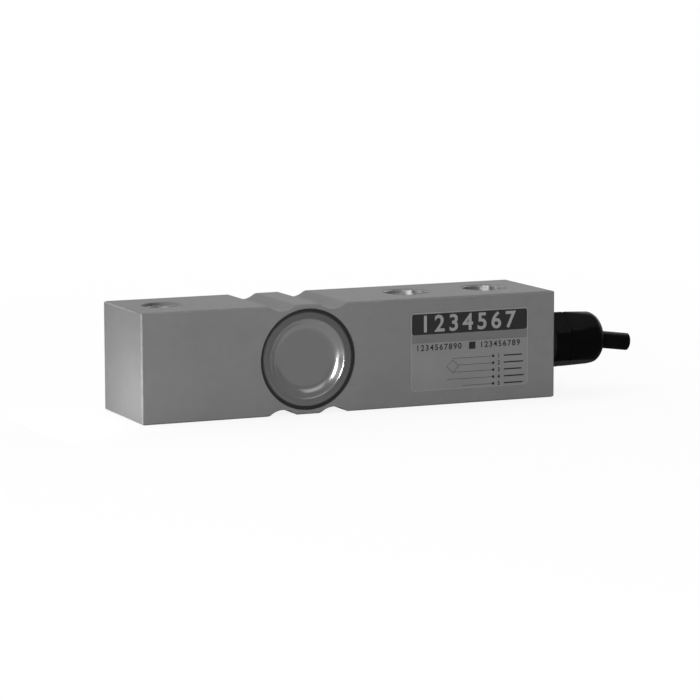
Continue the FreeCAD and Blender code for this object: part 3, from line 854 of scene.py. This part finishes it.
def make_sheet():
    """The film of the label, without its print."""
    form = bmesh.new()
    outline = rounded_outline(LABEL_LOW.x, LABEL_LOW.z, LABEL_HIGH.x, LABEL_HIGH.z, LABEL_CORNER)
    add_plate(form, outline, LABEL_HIGH.y - LABEL_FILM, LABEL_HIGH.y)
    finish_piece("label_sheet", mesh_from(form), "label_film", replaces=["label"])


def number_rows():
    """The two rows of small numbers and the numerals of the leads."""
    rows = [(digits, ROW_HEIGHT, left, ROW_BOTTOM, ROW_SPREAD) for digits, left in ROWS]
    for k in range(len(LEAD_STARTS)):
        rows.append((str(k + 1), NUMERAL_HEIGHT, NUMERAL_X, lead_height(k) - NUMERAL_DROP, 1.0))
    return rows


def make_label():
    """The label's film and each colour of its print."""
    make_sheet()
    left = LABEL_LOW.x / MM + BAND_MARGIN
    right = LABEL_HIGH.x / MM - BAND_MARGIN
    top = LABEL_HIGH.z / MM - BAND_MARGIN
    band = rounded_outline(left, BAND_BOTTOM, right, top, BAND_CORNER)
    mark = box_outline(MARK_LEFT, MARK_BOTTOM, MARK_LEFT + MARK_SIZE, MARK_BOTTOM + MARK_SIZE)
    dark = [band, mark] + lead_outlines()
    ink = label_ink("label_ink_dark", 0.018)
    finish_piece("label_print", print_mesh(dark), "label_film", ink)
    finish_piece("label_numbers", number_mesh(number_rows(), NUMBER_LIFT), "label_film", ink)
    title = [(TITLE, TITLE_HEIGHT, TITLE_LEFT, TITLE_BOTTOM, TITLE_SPREAD)]
    pale = label_ink("label_ink_pale", 0.2)
    finish_piece("label_title", number_mesh(title, TITLE_LIFT), "label_film", pale)
    tint = [box_outline(left, TINT_BOTTOM, right, BAND_BOTTOM)]
    finish_piece("label_tint", print_mesh(tint), "label_film", label_ink("label_ink_grey", 0.11))
    line = label_ink("label_ink_line", 0.06)
    finish_piece("label_bridge", print_mesh(bridge_outlines()), "label_film", line)


# Thread of the load hole, made by a node tree

class Shape(Nodes):
    """A tree of geometry nodes with named sizes, baked to a plain mesh."""

    def __init__(self, name, sizes):
        tree = bpy.data.node_groups.new(name, "GeometryNodeTree")
        super().__init__(tree)
        self.sizes = sizes
        self.keys = {}
        for size, number in sizes.items():
            kind = "NodeSocketInt" if isinstance(number, int) else "NodeSocketFloat"
            self.keys[size] = tree.interface.new_socket(size, in_out="INPUT", socket_type=kind).identifier
        tree.interface.new_socket("Geometry", in_out="OUTPUT", socket_type="NodeSocketGeometry")
        self.first = self.add("NodeGroupInput")

    def size(self, name):
        return self.first.other(name)

    def baked(self, geometry, finish):
        """Realise the tree's result with a finish, and return it as a mesh."""
        whole = self.add("GeometryNodeRealizeInstances", inputs={0: geometry})
        coated = self.add("GeometryNodeSetMaterial", inputs={0: whole, "Material": finish})
        self.add("NodeGroupOutput", inputs={0: coated})
        holder = bpy.data.objects.new(self.tree.name, bpy.data.meshes.new(self.tree.name))
        bpy.context.scene.collection.objects.link(holder)
        modifier = holder.modifiers.new("shape", "NODES")
        modifier.node_group = self.tree
        for size, number in self.sizes.items():
            modifier[self.keys[size]] = number
        depsgraph = bpy.context.evaluated_depsgraph_get()
        mesh = bpy.data.meshes.new_from_object(holder.evaluated_get(depsgraph))
        bpy.data.objects.remove(holder)
        return mesh


def make_thread():
    """A ridge that winds down the load hole, standing on its wall."""
    turns = LOAD_HOLE_LENGTH / THREAD_PITCH
    shape = Shape("load_thread", {
        "Radius": LOAD_HOLE_RADIUS - THREAD_RIDGE / 4, "Height": LOAD_HOLE_LENGTH, "Turns": turns,
        "Ridge": THREAD_RIDGE, "Sides": THREAD_SIDES, "Steps": THREAD_STEPS})
    helix = shape.add("GeometryNodeCurveSpiral", inputs={
        "Resolution": shape.size("Steps"), "Rotations": shape.size("Turns"), "Height": shape.size("Height"),
        "Start Radius": shape.size("Radius"), "End Radius": shape.size("Radius")})
    ridge = shape.add("GeometryNodeCurvePrimitiveCircle", inputs={
        "Resolution": shape.size("Sides"), "Radius": shape.size("Ridge")})
    thread = shape.add("GeometryNodeCurveToMesh", inputs={
        "Curve": helix, "Profile Curve": ridge, "Fill Caps": True})
    mesh = shape.baked(thread, FINISHES["alloy_steel"])
    base = LOAD_HOLE - Vector((0, 0, LOAD_HOLE_LENGTH / 2))
    mesh.transform(Matrix.Translation(base))
    shade_by_angle(mesh, 50)
    finish_piece("load_thread", mesh, "alloy_steel")


# Room

def look_at(item, target):
    item.rotation_euler = (Vector(target) - item.location).to_track_quat("-Z", "Y").to_euler()


def add_lamp(name, place, target, width, height, power):
    """A soft rectangular lamp; its power is in watts."""
    lamp = bpy.data.lights.new(name, "AREA")
    lamp.shape = "RECTANGLE"
    lamp.size = width
    lamp.size_y = height
    lamp.energy = power
    item = bpy.data.objects.new(name, lamp)
    item.location = place
    item.visible_camera = False
    look_at(item, target)
    bpy.context.scene.collection.objects.link(item)


def seen_share(tree):
    """One for the rays that show the room itself, to the eye or in a reflection."""
    path = tree.add("ShaderNodeLightPath", output="Is Camera Ray")
    return path.most(path.other("Is Glossy Ray")).most(path.other("Is Transmission Ray"))


def floor_shine(finish, x, y):
    """The tone of the floor where the metal reflects it."""
    aside = (COVER_CENTRE_X / MM - x) / (0 - y)
    start, full, fade, end = SHINE_STREAK
    streak = finish.ease(aside, start, full) * finish.ease(aside, end, fade)
    streak = streak * finish.ease(y, *STREAK_REACH)
    corner_x = BEAM_LOW.x / MM
    corner_y = BEAM_LOW.y / MM
    side = finish.ease((corner_x - x) / (corner_y - y), *SIDE_TURN) * (y < corner_y)
    near = SHINE_LOW + SHINE_NEAR * finish.ease(hole_distance(x, y, COVER_CENTRE_X), *NEAR_REACH)
    return near + (1 - near) * streak.most(side)


def under_bores(x, y):
    """One under the through holes, where the floor is plain paper and doesn't glow up them."""
    beneath = 0.0
    for centre, radius, _ in BORES:
        beneath = (hole_distance(x, y, centre) < radius / MM + HOLE_MARGIN).most(beneath)
    return beneath


def floor_finish():
    """White to the eye, but for a share of the shadow, and toned where the metal reflects it."""
    finish = Finish("pale_floor")
    paper = finish.add("ShaderNodeBsdfDiffuse", inputs={"Color": colour_of(FLOOR_PAPER)})
    spot = finish.spot()
    away = finish.add("ShaderNodeVectorMath", {"operation": "LENGTH"}, {0: spot}, output="Value")
    x = finish.add("ShaderNodeSeparateXYZ", inputs={0: spot})
    y = x.other("Y")
    glossy = finish.add("ShaderNodeLightPath", output="Is Glossy Ray")
    tone = 1 - glossy * (1 - floor_shine(finish, x, y))
    grey = finish.add("ShaderNodeCombineColor", inputs={0: tone, 1: tone, 2: tone})
    glow = finish.add("ShaderNodeEmission", inputs={"Color": grey, "Strength": 1.0})
    shadow = finish.ease(away, *SHADOW_REACH, SHADOW_SHARE, 0.0)
    share = seen_share(finish) * (1 - shadow) * (1 - under_bores(x, y))
    mixed = finish.add("ShaderNodeMixShader", inputs={0: share, 1: paper, 2: glow})
    finish.add("ShaderNodeOutputMaterial", inputs={"Surface": mixed})
    return finish.material


def make_floor():
    mesh = bpy.data.meshes.new("floor")
    half = FLOOR_SIZE / 2
    corners = [(-half, -half, 0), (half, -half, 0), (half, half, 0), (-half, half, 0)]
    mesh.from_pydata(corners, [], [(0, 1, 2, 3)])
    floor = bpy.data.objects.new("floor", mesh)
    floor.location.z = CAD_BOX[0].z
    bpy.context.scene.collection.objects.link(floor)
    mesh.materials.append(floor_finish())


def make_world():
    world = bpy.data.worlds.new("room")
    world.use_nodes = True
    bpy.context.scene.world = world
    room = Nodes(world.node_tree)
    way = room.add("ShaderNodeTexCoord", output="Generated")
    x = room.add("ShaderNodeSeparateXYZ", inputs={0: way})
    behind = room.ease(x.other("Y"), *SKY_BACK)
    sky = SKY_LOW + (1 - SKY_LOW) * behind * room.ease(x.other("Z"), *SKY_RISE)
    path = room.add("ShaderNodeLightPath", output="Is Camera Ray")
    sky = path + (1 - path) * sky
    strength = seen_share(room) * (sky - ROOM_FILL) + ROOM_FILL
    background = room.add("ShaderNodeBackground", inputs={"Color": colour_of(1.0), "Strength": strength})
    room.add("ShaderNodeOutputWorld", inputs={"Surface": background})


def make_camera():
    camera = bpy.data.cameras.new("camera")
    camera.lens = LENS
    camera.sensor_width = SENSOR
    camera.clip_start = 0.01
    item = bpy.data.objects.new("camera", camera)
    yaw = Matrix.Rotation(-CAMERA_YAW, 4, "Z")
    pitch = Matrix.Rotation(math.pi / 2 - CAMERA_DIP, 4, "X")
    roll = Matrix.Rotation(CAMERA_ROLL, 4, "Z")
    item.matrix_world = Matrix.Translation(CAMERA_PLACE) @ yaw @ pitch @ roll
    bpy.context.scene.collection.objects.link(item)
    bpy.context.scene.camera = item


def make_room():
    make_floor()
    make_world()
    for name, place, width, height, power in LAMPS:
        add_lamp(name, place, MIDDLE, width, height, power)
    before_end = END_LAMP_PLACE + Vector((1, 0, 0))
    add_lamp("low_end", END_LAMP_PLACE, before_end, END_LAMP_WIDTH, END_LAMP_HEIGHT, END_LAMP_POWER)
    bpy.context.scene.view_settings.view_transform = "Standard"


dress_nodes()
make_cover("front", BEAM_LOW.y, 1)
make_cover("rear", BEAM_HIGH.y, -1)
make_nut()
make_label()
make_thread()
make_room()
make_camera()
